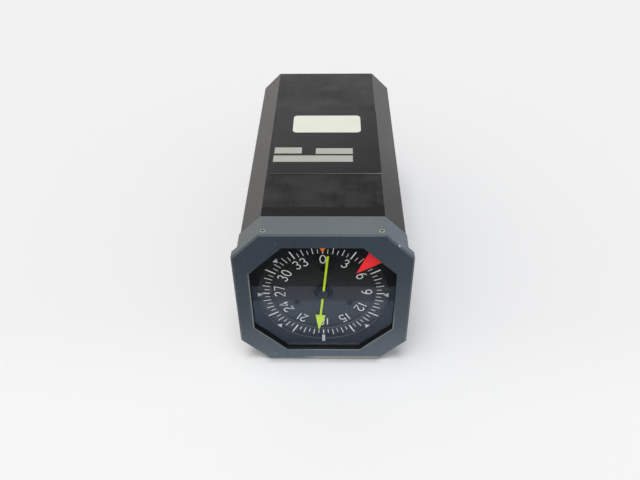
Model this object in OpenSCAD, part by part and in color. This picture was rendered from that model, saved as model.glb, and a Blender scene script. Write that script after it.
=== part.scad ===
// Radio magnetic indicator: a panel instrument with a servo-driven compass card,
// a synchro-driven bearing needle and a red warning flag behind an octagonal window.
// X runs to the right of the dial, Y from the dial to the rear connector, Z up.

/* [Case] */
// Width and height of the octagonal case
case_w = 81.4; // [79:0.2:90]
// Length of each 45 degree corner cut of the case, along its sides
case_corner = 10.6; // [8:0.2:12]
// Wall thickness of the case
case_wall = 1.6; // [1.2:0.1:1.8]
// Length of the case behind the bezel
case_len = 155.7; // [150:0.5:200]

/* [Bezel] */
// How far the bezel stands out past the case
bezel_overhang = 3; // [3:0.1:5]
// Corner cut of the bezel's front, along its sides
bezel_corner = 14.2; // [12:0.2:15]
// Depth of the bezel
bezel_depth = 14; // [13:0.5:18]
// Depth of the wide flange at the bezel's front
flange_depth = 4.6; // [4:0.2:8]
// Bevel round the bezel's front edge
bezel_bevel = 0.8; // [0.3:0.1:1.2]
// Wall thickness of the bezel behind its lip
bezel_wall = 1.6; // [1.2:0.1:1.8]
// Radius on the long edges of the bezel and the case
edge_r = 1; // [0.4:0.1:2]

/* [Window] */
// How far the window's edge lies inside the case's side
window_inset = 4.9; // [4.3:0.1:6]
// Corner cut of the window, along its sides
window_corner = 16.6; // [15:0.2:19]
// Thickness of the bezel's lip in front of the gasket
lip_t = 1.6; // [1.2:0.1:2]
// Thickness of the rubber gasket
gasket_t = 0.3; // [0.2:0.1:0.6]
// Thickness of the window glass
glass_t = 1.6; // [1.2:0.1:2.2]
// How far the glass reaches under the lip
glass_lap = 1.4; // [1:0.1:1.8]

/* [Dial] */
// Thickness of the frame between the glass and the index mask
frame_t = 1.8; // [1.6:0.1:2.6]
// Thickness of the index mask
mask_t = 0.7; // [0.5:0.1:1]
// Least width of the index mask inside the window
mask_rim = 2.7; // [2:0.1:5]
// Length of the small index teeth
tooth_len = 2.4; // [1.5:0.1:3]
// Length of the lubber tooth at the top
lubber_len = 4.8; // [3:0.1:5]
// Width of the small teeth where they leave the mask
tooth_w = 2.9; // [2:0.1:4]
// Height of the card's tick ring above its sunken middle
card_step = 1.3; // [0.6:0.1:1.6]
// Thickness of the card's sunken middle
card_t = 1; // [0.8:0.1:1.4]
// Width of the card's raised tick ring
tick_ring = 8.4; // [7:0.1:9]

/* [Needle] */
// Direction of the needle at rest, clockwise from the top
needle_angle = 185.5; // [0:0.1:360]
// Radius of the needle's tip
needle_tip_r = 25.1; // [20:0.1:26]
// Radius of the needle's tail end
needle_tail_r = 26.1; // [20:0.1:27]
// Width of the needle's bar
needle_bar_w = 1.1; // [0.8:0.1:2]
// Width of the arrowhead
arrow_w = 5.2; // [4:0.1:8]
// Length of the arrowhead
arrow_len = 10.1; // [8:0.1:14]
// Width of the arrowhead's blunt tip
arrow_tip_w = 0.6; // [0.4:0.1:1]
// Thickness of the needle
needle_t = 0.4; // [0.3:0.1:0.6]

/* [Gear train] */
// Gear module, in millimetres
gear_mod = 0.5; // [0.45:0.01:0.52]
// Teeth of the card gear and of the heading synchro gear
card_teeth = 42; // [42:1:46]
// Teeth of the idler's small gear and of the motor pinion
pinion_teeth = 16; // [15:1:17]
// Teeth of the idler's large gear
idler_teeth = 36; // [34:1:37]
// Pressure angle of the teeth
pressure_angle = 20; // [18:1:22]
// Play between meshing teeth, at the pitch circle
backlash = 0.08; // [0.05:0.01:0.12]
// Face width of the gears
gear_face = 3; // [2:0.1:3.4]

/* [Mechanism] */
// Thickness of the mechanism plates
plate_t = 2; // [1.6:0.1:2.4]
// Distance between the front and middle plates
gearbox_len = 12; // [11.5:0.5:16]
// Radius of the posts between the plates
post_r = 2.4; // [2:0.1:2.6]
// Radius of the motor and synchro cans
can_r = 9.5; // [8:0.1:9.6]
// Length of the servo motor's can
motor_len = 43; // [35:1:50]
// Length of the heading synchro's can
synchro_len = 32; // [28:1:45]
// Length from the middle plate to the servo board
board_y = 57; // [54:1:62]
// Distance between the two boards
board_gap = 16.4; // [12:0.1:18]
// Swing of the warning flag from shown to hidden
flag_swing = 68; // [60:1:68]

/* [Rear connector] */
// Outer radius of the receptacle's barrel
barrel_r = 12.7; // [12:0.1:14]
// Length of the barrel behind its flange
barrel_len = 11.4; // [9:0.1:14]
// Width of the square flange
connector_flange = 27.8; // [27:0.1:32]
// Thickness of the square flange
connector_flange_t = 1.6; // [1.2:0.1:2.4]
// Radius of a contact pin
pin_r = 0.8; // [0.5:0.05:0.9]

/* [Case top] */
// Width of the data plate across the case
plate_w = 59; // [40:1:59]
// Length of the data plate
plate_len = 66; // [40:1:75]
// Width of the blank label
label_w = 39; // [20:0.2:42]
// Length of the blank label
label_len = 19; // [12:0.1:30]

/* [Hidden] */
$fn = 64;

// Clearances: a sliding fit between fixed pieces, a running fit round a shaft,
// and the gap left round pieces that turn
fit = 0.15;
run = 0.05;
gap = 0.3;
// Overshoot of a cut past the face that it opens
over = 1;

// Widths of the nested octagons
bezel_w = case_w + 2 * bezel_overhang;
window_w = case_w - 2 * window_inset;
glass_w = window_w + 2 * glass_lap;
cavity_w = case_w - 2 * bezel_wall;
cavity_h = bezel_w - 2 * bezel_wall;
frame_w = cavity_w - 2 * fit;
frame_h = cavity_h - 2 * fit;
frame_lap = 0.6;
frame_open = window_w + 2 * frame_lap;
inside_w = case_w - 2 * case_wall;
spigot_w = inside_w - 2 * fit;
spigot_wall = 1.6;
inner_w = spigot_w - 2 * spigot_wall;
inner_leg = inset_leg(case_corner, case_wall + fit + spigot_wall);
mech_w = inner_w - 2 * fit;
mech_leg = inset_leg(inner_leg, fit);

// Corner cuts of the oblong octagons, from their distance along the diagonal
cavity_leg = leg_at(cavity_w, cavity_h, bezel_w - bezel_corner - bezel_wall * sqrt(2));
frame_leg = leg_at(frame_w, frame_h, bezel_w - bezel_corner - (bezel_wall + fit) * sqrt(2));

// Places along Y, from the bezel's front face to the rear
y_glass = lip_t + gasket_t;
y_frame = y_glass + glass_t;
y_mask = y_frame + frame_t;
y_ring = y_mask + mask_t;
y_card = y_ring + gap;
y_floor = y_card + card_step;
y_card_back = y_floor + card_t;
y_needle = y_mask - 0.2;
flange_t = 1.6;
y_plate = y_card_back + flange_t + 0.8;
y_gears = y_plate + plate_t;
y_middle = y_gears + gearbox_len;
y_cans = y_middle + plate_t;
y_board = y_cans + board_y;
board_t = 1.6;
y_board2 = y_board + board_t + board_gap;
case_seat_t = 0.4;
y_seat = bezel_depth - case_seat_t;
y_case_end = bezel_depth + case_len;
y_inside_end = y_case_end - case_wall;
standoff_len = 16.1;
y_bulkhead = y_inside_end - standoff_len - plate_t;
spigot_end = bezel_depth + 6;
connector_gasket_t = 0.5;
y_flange = y_case_end + connector_gasket_t;
total_len = y_flange + connector_flange_t + barrel_len;

// Index mask and compass card
mask_open_r = window_w / 2 - mask_rim;
card_r = mask_open_r + 1.5;
card_floor_r = card_r - tick_ring;
card_hole_r = 4.9;
card_screw_r = 15.8;
hub_flange_r = 17.8;
lubber_w = 4.5;
index_bar_w = 1.9;
index_bar_len = 3.4;

// Shafts, bearings and gears
hollow_r = 4;
hollow_bore_r = 2.6;
needle_shaft_r = 1.2;
needle_hub_r = 3.1;
bearing_r = 7;
bearing_lip = 0.9;
idler_shaft_r = 1;
bush_r = 2.2;
rotor_shaft_r = 1.2;
card_pitch_r = gear_mod * card_teeth / 2;
pinion_pitch_r = gear_mod * pinion_teeth / 2;
idler_pitch_r = gear_mod * idler_teeth / 2;
gear_hub_w = 2;
gear_rim_w = 1;
idler_dir = 60;
motor_dir = -5;
synchro_dir = 270;
idler_at = (card_pitch_r + pinion_pitch_r) * [cos(idler_dir), sin(idler_dir)];
motor_at = idler_at + (idler_pitch_r + pinion_pitch_r) * [cos(motor_dir), sin(motor_dir)];
synchro_at = 2 * card_pitch_r * [cos(synchro_dir), sin(synchro_dir)];
ledge_t = 2;
y_train = y_gears + ledge_t + gap;
y_second = y_train + gear_face + 1.5;
second_face = min(gear_face, 2.5);
idler_phase = mesh_phase(idler_dir, 0, card_teeth, pinion_teeth);
synchro_phase = mesh_phase(synchro_dir, 0, card_teeth, card_teeth);
motor_phase = mesh_phase(motor_dir, 0, idler_teeth, pinion_teeth);

// Warning flag: its pivot, and its outline from the pivot, tip first
flag_at = [window_w / 2 - 11.3, window_w / 2 - 2.8];
flag_t = 0.25;
y_flag = y_frame + 0.35;
flag_hub_r = 1.3;
flag_shaft_r = 0.6;
flag_outline = [[-8, -16.76], [4.9, -9.15], [1.5, -5.8], [1.1, -0.5], [-1.15, -0.3], [-1.94, -2.4]];
flag_reach = norm(flag_outline[0]) + 0.6;
flag_web_t = 0.6;
movement_r = 5;
movement_len = 13;

// Screws and posts
screw_r = 0.8;
bezel_screw_edge = 1.9;
bezel_screw_x = bezel_w / 2 - bezel_corner - bezel_screw_edge;
bezel_screw_y = 3.5;
bezel_head_r = 1.45;
bezel_head_t = 0.8;
bezel_head_z = bezel_w / 2 - bezel_head_t - 0.1;
boss_w = 7;
boss_front = y_glass;
boss_z = glass_w / 2 + 0.5;
frame_screw_at = [12, (frame_open + frame_h) / 4];
ledge_in = 3.4;
plate_screw_at = [(inner_w - ledge_in) / 2 - 0.05, 10];
post_at = [inner_w / 2 - ledge_in - gap - post_r, inner_w / 2 - 9.9];
clamp_out = 1.5;
clamp_lap = 0.5;
clamp_r = clamp_out + clamp_lap;
clamp_t = 1.1;
clamp_head_r = 1.3;
clamp_head_t = 0.8;
motor_clamps = [30, 150, 270];
synchro_clamps = [195, 285, 345];
can_lip_t = 1.2;
can_waist_t = 1.7;
can_waist_r = can_r - clamp_lap - 0.2;
terminal_r = 0.6;
terminal_len = 3;
mount_wall = 1.5;
mount_len = 7;
mount_flange_r = can_r + 4.5;
mount_screw_r = mount_flange_r - 1.4;
mount_screw_dirs = [90, 210, 330];
rotor_len = 8;

// Parts on the servo board: cans in a row, chips and relays
can_part_r = 3;
can_part_len = 5;
can_part_pitch = 9;
can_part_z = 16;
chip = [3.4, 2.2, 9];
chip_pitch = 6.4;
chip_z = -4;
relay = [6, 3.2, 10];
relay_pitch = 9.4;
relay_z = -20;

// Parts on the power board: filter cans, chips, and power cans on a heat sink
filter_r = 5.2;
filter_len = 15;
filter_pitch = 13;
filter_z = 20;
power_chip = [4.8, 4.4, 12];
power_chip_pitch = 7;
power_chip_z = -26;
heat_sink = [48, 1.2, 8];
heat_sink_z = 2;
power_can_r = 3.4;
power_can_len = 7;
power_can_pitch = 14;

// Transformer: three-limbed core with a coil round its middle limb
core_w = 34;
core_h = 28;
core_stack = 21;
core_yoke = 5;
core_limb = 6;
coil_play = 0.4;
coil_overhang = 3;

// Rear connector
socket_r = barrel_r - 1.8;
shell_back = 11;
insert_front = y_flange + 5.3;
pin_len = 6;
inner_pin_ring_r = 5.3;
outer_pin_ring_r = socket_r - 2.3;
flange_hole = connector_flange / 2 - 3.2;

// Data plate and label on the case top
data_plate_t = 0.3;
data_plate_x = 0.75;
data_plate_y = 53.6;
label_t = 0.12;
label_corner = 2.4;
label_at = [1.2, 94.8];

// Corner cut of an octagon drawn d inside one whose corner cut is leg
function inset_leg(leg, d) = leg - d * (2 - sqrt(2));
// Corner cut of a w by h octagon whose corner line has x + z = reach
function leg_at(w, h, reach) = (w + h) / 2 - reach;
// Corners of a w by h octagon, counterclockwise from its lower right
function octagon(w, h, leg) = [
  [w / 2, leg - h / 2], [w / 2, h / 2 - leg], [w / 2 - leg, h / 2], [leg - w / 2, h / 2],
  [-w / 2, h / 2 - leg], [-w / 2, leg - h / 2], [leg - w / 2, -h / 2], [w / 2 - leg, -h / 2]];
// The same octagon with its corners rounded to radius r
function round_octagon(w, h, leg, r, steps = 4) = let (c = octagon(w, h, leg)) [
  for (i = [0:7], k = [0:steps])
    let (mid = 45 * i - 22.5, a = 45 * (i - 1) + 45 * k / steps)
      c[i] - r / cos(22.5) * [cos(mid), sin(mid)] + r * [cos(a), sin(a)]];
// A w by h rectangle with its corners rounded to radius r
function round_rect(w, h, r, steps = 4) = [
  for (i = [0:3], k = [0:steps])
    let (a = 90 * i + 90 * k / steps, sx = (i == 0 || i == 3) ? 1 : -1, sy = i < 2 ? 1 : -1)
      [sx * (w / 2 - r), sy * (h / 2 - r)] + r * [cos(a), sin(a)]];

// Involute gear teeth
function inv(a) = tan(a) * 180 / PI - a;
function flank_angle(r, base_r, half) = half - inv(r > base_r ? acos(base_r / r) : 0);
// One tooth's outline: up its right flank and down its left
function tooth_points(teeth, at, radii, base_r, half) = concat(
  [for (r = radii) let (a = at - flank_angle(r, base_r, half)) r * [cos(a), sin(a)]],
  [for (i = [len(radii) - 1:-1:0])
    let (r = radii[i], a = at + flank_angle(r, base_r, half)) r * [cos(a), sin(a)]]);
function gear_outline(teeth, phase) =
  let (
    pitch_r = gear_mod * teeth / 2,
    base_r = pitch_r * cos(pressure_angle),
    root_r = pitch_r - 1.25 * gear_mod,
    tip_r = pitch_r + gear_mod,
    half = 90 / teeth - backlash / 2 / pitch_r * 90 / PI + inv(pressure_angle),
    start_r = max(root_r, base_r),
    flank = [for (k = [0:2]) start_r + (tip_r - start_r) * k / 2],
    radii = root_r < base_r ? concat([root_r], flank) : flank)
  [for (i = [0:teeth - 1]) each tooth_points(teeth, phase + 360 * i / teeth, radii, base_r, half)];
// Turn of a gear of nb teeth that meshes in direction dir with one of na teeth turned by a
function mesh_phase(dir, a, na, nb) = dir + 180 - (0.5 - (dir - a) * na / 360) * 360 / nb;

// Puts a piece drawn from the bezel's front and the dial's axis into the part's own frame
module placed() {
  translate([0, -total_len / 2, bezel_w / 2]) children();
}
// Extrudes an X-Z outline along Y
module along_y(y0, y1) {
  translate([0, y1, 0]) rotate([90, 0, 0]) linear_extrude(y1 - y0) children();
}
// Turns a profile of radius and Y about an axis along Y
module turned(at = [0, 0]) {
  translate([at[0], 0, at[1]]) rotate([-90, 0, 0]) rotate_extrude() children();
}
module rod(r, y0, y1, at = [0, 0]) {
  translate([at[0], y0, at[1]]) rotate([-90, 0, 0]) cylinder(r = r, h = y1 - y0);
}
module ring(r, bore, y0, y1, at = [0, 0]) {
  difference() {
    rod(r, y0, y1, at);
    rod(bore, y0 - over, y1 + over, at);
  }
}
module oct_plate(w, h, leg, y0, y1) {
  along_y(y0, y1) polygon(octagon(w, h, leg));
}
// Copies to the four quarters of the dial
module four(at) {
  for (sx = [-1, 1], sz = [-1, 1]) translate([sx * at[0], 0, sz * at[1]]) children();
}
// A pan head at the end of a shank, both along Y; the head lies before y when it looks forward
module screw(y, shank, head_r, head_h, forward = true) {
  rod(screw_r, forward ? y - 0.01 : y - shank, forward ? y + shank : y + 0.01);
  difference() {
    rod(head_r, forward ? y - head_h : y, forward ? y : y + head_h);
    translate([-head_r - over, forward ? y - head_h - over : y + head_h * 0.5, -head_r * 0.12])
      cube([2 * head_r + 2 * over, head_h * 0.5 + over, head_r * 0.24]);
  }
}
module gear(teeth, phase, y0, y1, bore, at) {
  difference() {
    translate([at[0], 0, at[1]]) along_y(y0, y1) polygon(gear_outline(teeth, phase));
    rod(bore, y0 - over, y1 + over, at);
  }
}

// Bezel: painted casting with the window, the glass seat and room for the frame behind
module bezel_bevel_cuts() {
  big = 2 * bezel_w;
  for (i = [0:7]) {
    d = i % 2 == 0 ? bezel_w / 2 : (bezel_w - bezel_corner) / sqrt(2);
    rotate([0, 45 * i, 0]) translate([d - bezel_bevel / 2, bezel_bevel / 2, 0])
      rotate([0, 0, -45]) translate([0, -big / 2, -big / 2]) cube(big);
  }
}
module bezel() {
  color("slategray") placed() difference() {
    along_y(0, bezel_depth) polygon(round_octagon(bezel_w, bezel_w, bezel_corner, edge_r));
    for (s = [-1, 1]) translate([s > 0 ? case_w / 2 : -case_w, flange_depth, -bezel_w])
      cube([case_w / 2, bezel_depth, 2 * bezel_w]);
    bezel_bevel_cuts();
    oct_plate(window_w, window_w, window_corner, -over, y_frame);
    oct_plate(glass_w + 2 * fit, glass_w + 2 * fit,
      inset_leg(window_corner, -glass_lap - fit), lip_t, y_frame);
    oct_plate(cavity_w, cavity_h, cavity_leg, y_frame, bezel_depth + over);
    oct_plate(case_w, case_w, case_corner, y_seat, bezel_depth + over);
    intersection() {
      bezel_screw_places() screw_boss(fit, glass_w / 2);
      oct_plate(cavity_w, cavity_h, cavity_leg, 0, bezel_depth);
    }
    bezel_screw_places() {
      translate([0, 0, cavity_h / 2 - over]) cylinder(r = screw_r + run, h = bezel_wall + 2 * over);
      translate([0, 0, bezel_head_z]) cylinder(r = bezel_head_r + fit, h = over);
    }
  }
}
// Two places on the bezel's top and, turned over, the same two on its bottom
module bezel_screw_places() {
  for (side = [-1, 1], turn = [0, 180]) rotate([0, turn, 0])
    translate([side * bezel_screw_x, bezel_screw_y, 0]) children();
}
// Block of the window frame that takes a bezel screw, grown by extra all round
module screw_boss(extra, z0) {
  translate([-boss_w / 2 - extra, boss_front - bezel_screw_y - extra, z0])
    cube([boss_w + 2 * extra, y_mask - boss_front + extra, bezel_w / 2 - z0]);
}
module bezel_screws() {
  color("silver") placed() bezel_screw_places() difference() {
    union() {
      translate([0, 0, boss_z + 0.8]) cylinder(r = screw_r, h = bezel_head_z - boss_z - 0.7);
      translate([0, 0, bezel_head_z]) cylinder(r = bezel_head_r, h = bezel_head_t);
    }
    translate([0, 0, bezel_head_z + 0.3]) cylinder(r = 0.7, h = over, $fn = 6);
  }
}

// Window: gasket and glass, held against the bezel's lip by the frame behind them
module window_gasket() {
  color("black") placed() difference() {
    oct_plate(glass_w, glass_w, inset_leg(window_corner, -glass_lap), lip_t, y_glass);
    oct_plate(window_w + 0.3, window_w + 0.3, inset_leg(window_corner, -0.15), 0, y_glass + over);
  }
}
module window_glass() {
  color("lightcyan", 0.4) placed()
    oct_plate(glass_w, glass_w, inset_leg(window_corner, -glass_lap), y_glass, y_frame);
}
module window_frame() {
  color("dimgray") placed() difference() {
    union() {
      oct_plate(frame_w, frame_h, frame_leg, y_frame, y_mask);
      intersection() {
        bezel_screw_places() screw_boss(0, boss_z);
        oct_plate(frame_w, frame_h, frame_leg, 0, y_mask);
      }
    }
    oct_plate(frame_open, frame_open, inset_leg(window_corner, -frame_lap), 0, y_mask + over);
    intersection() {
      rod(flag_reach, y_frame - over, y_mask - flag_web_t, flag_at);
      translate([0, y_frame - over, 0])
        cube([frame_w / 2 - 0.5, frame_t + over, flag_at[1] + flag_hub_r + 0.7]);
      oct_plate(frame_w - 1, frame_h - 1, inset_leg(frame_leg, 0.5), 0, y_mask);
    }
    rod(flag_hub_r + gap, y_frame, y_mask + over, flag_at);
    bezel_screw_places() translate([0, 0, boss_z + 0.6]) cylinder(r = screw_r, h = frame_h);
    four(frame_screw_at) {
      rod(1.7, y_frame - over, y_frame + 0.9);
      rod(screw_r, y_frame, y_mask + over);
    }
  }
}
module frame_screws() {
  color("silver") placed() four(frame_screw_at) screw(y_frame + 0.9, 6, 1.5, 0.8);
}

// Index mask: a flat plate whose teeth point at the card from every 45 degrees
module index_tooth(angle, length, width) {
  rotate(-angle) polygon([[-width / 2, mask_open_r], [0, mask_open_r - length],
    [width / 2, mask_open_r], [width / 2, mask_open_r + 0.6], [-width / 2, mask_open_r + 0.6]]);
}
module index_mask() {
  color("black") placed() difference() {
    union() {
      difference() {
        oct_plate(frame_w, frame_h, frame_leg, y_mask, y_ring);
        rod(mask_open_r, y_mask - over, y_ring + over);
      }
      along_y(y_mask, y_ring) {
        index_tooth(0, lubber_len, lubber_w);
        for (a = [45, 90, 135, 225, 270, 315]) index_tooth(a, tooth_len, tooth_w);
        translate([-index_bar_w / 2, -mask_open_r - 0.6])
          square([index_bar_w, index_bar_len + 0.6]);
      }
    }
    rod(flag_shaft_r + gap, 0, y_ring + over, flag_at);
    four(frame_screw_at) rod(screw_r, 0, y_ring + over);
  }
}

// Front frame: joins the bezel to the case and carries the mechanism's front plate
module front_frame() {
  color("dimgray") placed() difference() {
    union() {
      oct_plate(frame_w, frame_h, frame_leg, y_ring, y_seat);
      oct_plate(spigot_w, spigot_w, inset_leg(case_corner, case_wall + fit), y_ring, spigot_end);
    }
    oct_plate(inner_w, inner_w, inner_leg, 0, y_gears);
    intersection() {
      oct_plate(inner_w, inner_w, inner_leg, 0, spigot_end + over);
      translate([-inner_w / 2 + ledge_in, 0, -inner_w / 2 + ledge_in])
        cube([inner_w - 2 * ledge_in, 2 * spigot_end, inner_w - 2 * ledge_in]);
    }
    oct_plate(inner_w, inner_w, inner_leg, y_gears + ledge_t, spigot_end + over);
    rod(flag_shaft_r + 1, 0, spigot_end, flag_at);
    four(frame_screw_at) rod(screw_r, 0, y_frame + 7.2);
    four(plate_screw_at) rod(screw_r, 0, spigot_end);
  }
}
module plate_screws() {
  color("silver") placed() four(plate_screw_at) screw(y_plate, plate_t + ledge_t, 1.4, 0.8);
}

// Mechanism plates, with seats for the bearings and holes for the shafts
module mech_plate(y0) {
  difference() {
    oct_plate(mech_w, mech_w, mech_leg, y0, y0 + plate_t);
    rod(bearing_r, 0, y_case_end);
    rod(bush_r, 0, y_case_end, idler_at);
    rod(flag_shaft_r + gap, 0, y_case_end, flag_at);
    four(post_at) rod(screw_r, 0, y_case_end);
    children();
  }
}
module front_plate() {
  color("lightgray") placed() mech_plate(y_plate) four(plate_screw_at) rod(screw_r, 0, y_gears);
}
module middle_plate() {
  color("lightgray") placed() mech_plate(y_middle) {
    rod(rotor_shaft_r + gap, 0, y_cans, motor_at);
    rod(rotor_shaft_r + gap, 0, y_cans, synchro_at);
    mount_screw_places() rod(screw_r, y_middle, y_cans);
    clamp_places() rod(screw_r, y_middle, y_cans);
  }
}
module front_posts() {
  color("silver") placed() four(post_at) difference() {
    rod(post_r, y_gears, y_middle);
    rod(screw_r, y_gears - over, y_middle + over);
  }
}
module main_posts() {
  color("silver") placed() four(post_at) difference() {
    rod(post_r, y_cans, y_board);
    rod(screw_r, y_cans - over, y_cans + 6);
  }
}
module post_screws() {
  color("silver") placed() four(post_at) screw(y_plate, gearbox_len + 2 * plate_t + 4, 1.5, 0.8);
}

// Compass card and the hollow shaft that turns it
module compass_card() {
  color("black") placed() difference() {
    turned() polygon([[0, y_floor], [card_floor_r, y_floor], [card_floor_r + 0.2, y_card],
      [card_r, y_card], [card_r, y_card_back], [0, y_card_back]]);
    rod(card_hole_r, 0, y_plate);
    for (a = [0, 120, 240]) rotate([0, a, 0]) rod(screw_r, 0, y_plate, [0, card_screw_r]);
  }
}
module card_screws() {
  color("dimgray") placed() for (a = [0, 120, 240]) rotate([0, a, 0])
    translate([0, 0, card_screw_r]) screw(y_floor, card_t + flange_t, 1.25, 0.5);
}
module card_shaft() {
  color("silver") placed() difference() {
    turned() polygon([[0, y_card_back], [hub_flange_r, y_card_back],
      [hub_flange_r, y_card_back + flange_t], [hollow_r, y_card_back + flange_t],
      [hollow_r, y_cans + 0.4], [0, y_cans + 0.4]]);
    rod(hollow_bore_r, 0, y_board);
    for (a = [0, 120, 240]) rotate([0, a, 0]) rod(screw_r, 0, y_plate, [0, card_screw_r]);
  }
}
module card_gear() {
  color("goldenrod") placed() difference() {
    union() {
      gear(card_teeth, 0, y_train, y_train + gear_face, hollow_r + run, [0, 0]);
      ring(hollow_r + gear_hub_w, hollow_r + run, y_train + gear_face - 0.01,
        y_train + gear_face + 1);
    }
    web_holes([0, 0], hollow_r + gear_hub_w);
  }
}
// Six lightening holes between a gear's hub and its rim
module web_holes(at, hub_r) {
  root_r = card_pitch_r - 1.25 * gear_mod;
  hole_r = (root_r - gear_rim_w - hub_r) / 2 - 0.2;
  for (i = [0:5]) translate([at[0], 0, at[1]]) rotate([0, 60 * i, 0])
    rod(hole_r, 0, y_board, [0, (hub_r + root_r - gear_rim_w) / 2]);
}
module card_bearing(y0) {
  turned() polygon([[hollow_r + run, y0 - 0.4], [bearing_r + bearing_lip, y0 - 0.4],
    [bearing_r + bearing_lip, y0], [bearing_r, y0], [bearing_r, y0 + plate_t],
    [bearing_r - 0.9, y0 + plate_t], [bearing_r - 1.1, y0 + plate_t - 0.3],
    [hollow_r + 1.1, y0 + plate_t - 0.3], [hollow_r + 0.9, y0 + plate_t],
    [hollow_r + run, y0 + plate_t]]);
}
module front_bearing() {
  color("gainsboro") placed() card_bearing(y_plate);
}
module rear_bearing() {
  color("gainsboro") placed() card_bearing(y_middle);
}
module needle_bushes() {
  color("peru") placed() {
    ring(hollow_bore_r, needle_shaft_r + run, y_card_back, y_card_back + 2.5);
    ring(hollow_bore_r, needle_shaft_r + run, y_cans - 2.1, y_cans + 0.4);
  }
}

// Needle: flat pointer on a turned hub, driven straight by the bearing synchro
module needle() {
  color("greenyellow") placed() rotate([0, needle_angle, 0]) along_y(y_needle, y_needle + needle_t) {
    circle(r = needle_hub_r - 0.4);
    translate([-needle_bar_w / 2, -needle_tail_r])
      square([needle_bar_w, needle_tail_r + needle_tip_r - arrow_len + 1]);
    polygon([[-arrow_w / 2, needle_tip_r - arrow_len], [arrow_w / 2, needle_tip_r - arrow_len],
      [arrow_tip_w / 2, needle_tip_r], [-arrow_tip_w / 2, needle_tip_r]]);
  }
}
module needle_hub() {
  color("black") placed() difference() {
    turned() polygon([[0, y_needle + needle_t], [needle_hub_r, y_needle + needle_t],
      [needle_hub_r, y_floor], [needle_shaft_r + 0.8, y_card_back - gap], [0, y_card_back - gap]]);
    rod(needle_shaft_r, y_needle + needle_t + 0.4, y_plate);
  }
}
module needle_shaft() {
  color("silver") placed() rod(needle_shaft_r, y_needle + needle_t + 0.4, y_cans + 14);
}
module bearing_synchro() {
  color("lightsteelblue") placed() difference() {
    can([0, 0], y_cans + flange_t, synchro_len);
    rod(needle_shaft_r + run, 0, y_cans + 14.3);
  }
}
module synchro_mount() {
  color("lightgray") placed() difference() {
    turned() polygon([[can_r - 2, y_cans], [mount_flange_r, y_cans],
      [mount_flange_r, y_cans + flange_t], [can_r + mount_wall, y_cans + flange_t],
      [can_r + mount_wall, y_cans + flange_t + mount_len],
      [can_r + run, y_cans + flange_t + mount_len],
      [can_r + run, y_cans + flange_t], [can_r - 2, y_cans + flange_t]]);
    mount_screw_places() rod(screw_r, 0, y_board);
    for (at = [motor_at, synchro_at]) rod(can_r + gap, 0, y_board, at);
  }
}
module mount_screw_places() {
  for (a = mount_screw_dirs) rotate([0, -a, 0]) translate([mount_screw_r, 0, 0]) children();
}
module synchro_screws() {
  color("silver") placed() mount_screw_places()
    screw(y_cans + flange_t, flange_t + plate_t - 0.2, 1.2, 0.8, false);
}

// Motor and synchro cans, gripped at their front rims by three clamps each
module can(at, y0, length) {
  turned(at) polygon([[0, y0], [can_r, y0], [can_r, y0 + can_lip_t], [can_waist_r, y0 + can_lip_t],
    [can_waist_r, y0 + can_lip_t + can_waist_t], [can_r, y0 + can_lip_t + can_waist_t],
    [can_r, y0 + length - 1], [can_r - 1, y0 + length], [0, y0 + length]]);
  for (a = [0:72:359]) translate([at[0], 0, at[1]]) rotate([0, a, 0])
    rod(terminal_r, y0 + length - 0.01, y0 + length + terminal_len, [can_r - 4, 0]);
}
module clamp_place(at, a) {
  translate([at[0], 0, at[1]] + (can_r + clamp_out) * [cos(a), 0, sin(a)]) children();
}
module clamp_places() {
  for (a = motor_clamps) clamp_place(motor_at, a) children();
  for (a = synchro_clamps) clamp_place(synchro_at, a) children();
}
module can_clamps() {
  y_clamp = y_cans + can_lip_t;
  color("silver") placed() {
    clamp_places() {
      rod(screw_r, y_middle + 0.2, y_clamp + clamp_t + clamp_head_t);
      rod(clamp_r, y_clamp, y_clamp + clamp_t);
      rod(clamp_head_r, y_clamp + clamp_t, y_clamp + clamp_t + clamp_head_t);
    }
    difference() {
      clamp_places() rod(clamp_r, y_cans, y_clamp + 0.01);
      for (at = [motor_at, synchro_at]) rod(can_r, 0, y_board, at);
    }
  }
}
module servo_motor() {
  color("lightsteelblue") placed() difference() {
    can(motor_at, y_cans, motor_len);
    rod(rotor_shaft_r + run, 0, y_cans + rotor_len + gap, motor_at);
  }
}
module heading_synchro() {
  color("lightsteelblue") placed() difference() {
    can(synchro_at, y_cans, synchro_len);
    rod(rotor_shaft_r + run, 0, y_cans + rotor_len + gap, synchro_at);
  }
}
module motor_pinion() {
  color("goldenrod") placed() {
    gear(pinion_teeth, motor_phase, y_second - 0.3, y_second + second_face + 0.3, rotor_shaft_r,
      motor_at);
    ring(pinion_pitch_r - gear_mod, rotor_shaft_r, y_second + second_face + 0.29,
      y_second + second_face + 1.3, motor_at);
  }
}
module motor_shaft() {
  color("silver") placed() rod(rotor_shaft_r, y_second - 0.6, y_cans + rotor_len, motor_at);
}
module synchro_gear() {
  color("goldenrod") placed() difference() {
    union() {
      gear(card_teeth, synchro_phase, y_train, y_train + gear_face, rotor_shaft_r, synchro_at);
      ring(rotor_shaft_r + gear_hub_w, rotor_shaft_r, y_train + gear_face - 0.01,
        y_train + 2 * gear_face, synchro_at);
    }
    web_holes(synchro_at, rotor_shaft_r + gear_hub_w);
  }
}
module synchro_shaft() {
  color("silver") placed() rod(rotor_shaft_r, y_train - 0.4, y_cans + rotor_len, synchro_at);
}

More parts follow.
